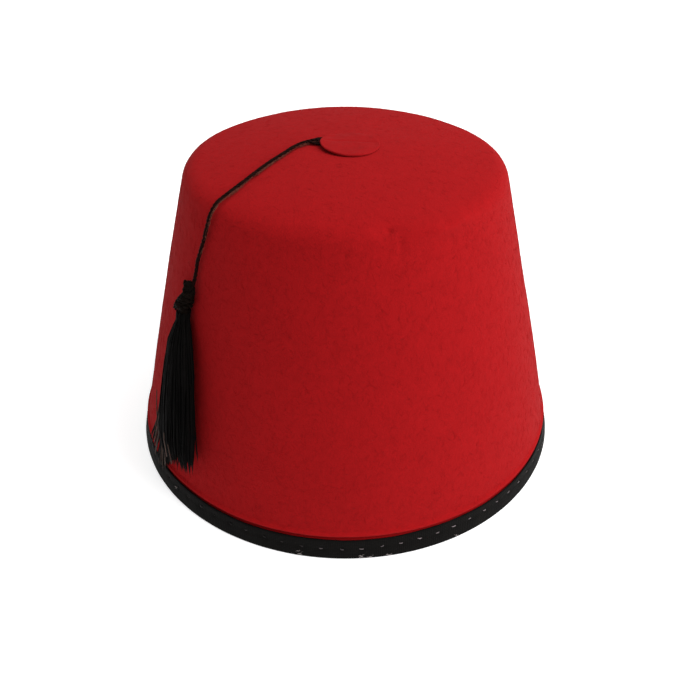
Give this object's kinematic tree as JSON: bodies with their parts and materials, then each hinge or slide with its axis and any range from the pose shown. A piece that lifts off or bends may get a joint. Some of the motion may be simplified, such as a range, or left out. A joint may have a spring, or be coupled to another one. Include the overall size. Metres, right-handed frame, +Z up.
{
  "type": "felt fez hat",
  "caption": "Brimless tapering hat of stiff red felt with a gently domed top, a black bound rim, a small felt disc on top and a black cord with a tassel down the side.",
  "frame": {"origin": "centre of the rim's underside, on the surface that the hat stands on", "axes": "+Z up through the crown, -Y towards the front of the hat, +X to the viewer's right, the tassel on the front left"},
  "size_m": [0.1898, 0.1898, 0.133],
  "materials": {
    "red_felt": "matt pressed felt with a fine fibrous nap",
    "disc_felt": "matt pressed felt, a little fluffier at its cut edge",
    "black_tape": "woven cotton tape with a row of stitches",
    "black_cord": "twisted yarn with a soft sheen",
    "black_fringe": "loose strands with a soft sheen"
  },
  "bodies": {
    "root": {"crown": "red_felt", "rim_binding": "black_tape", "top_disc": "disc_felt", "tassel_cord": "black_cord", "tassel_knot": "black_cord", "tassel_collar": "black_cord", "tassel_skirt": "black_fringe"}
  },
  "joints": []
}
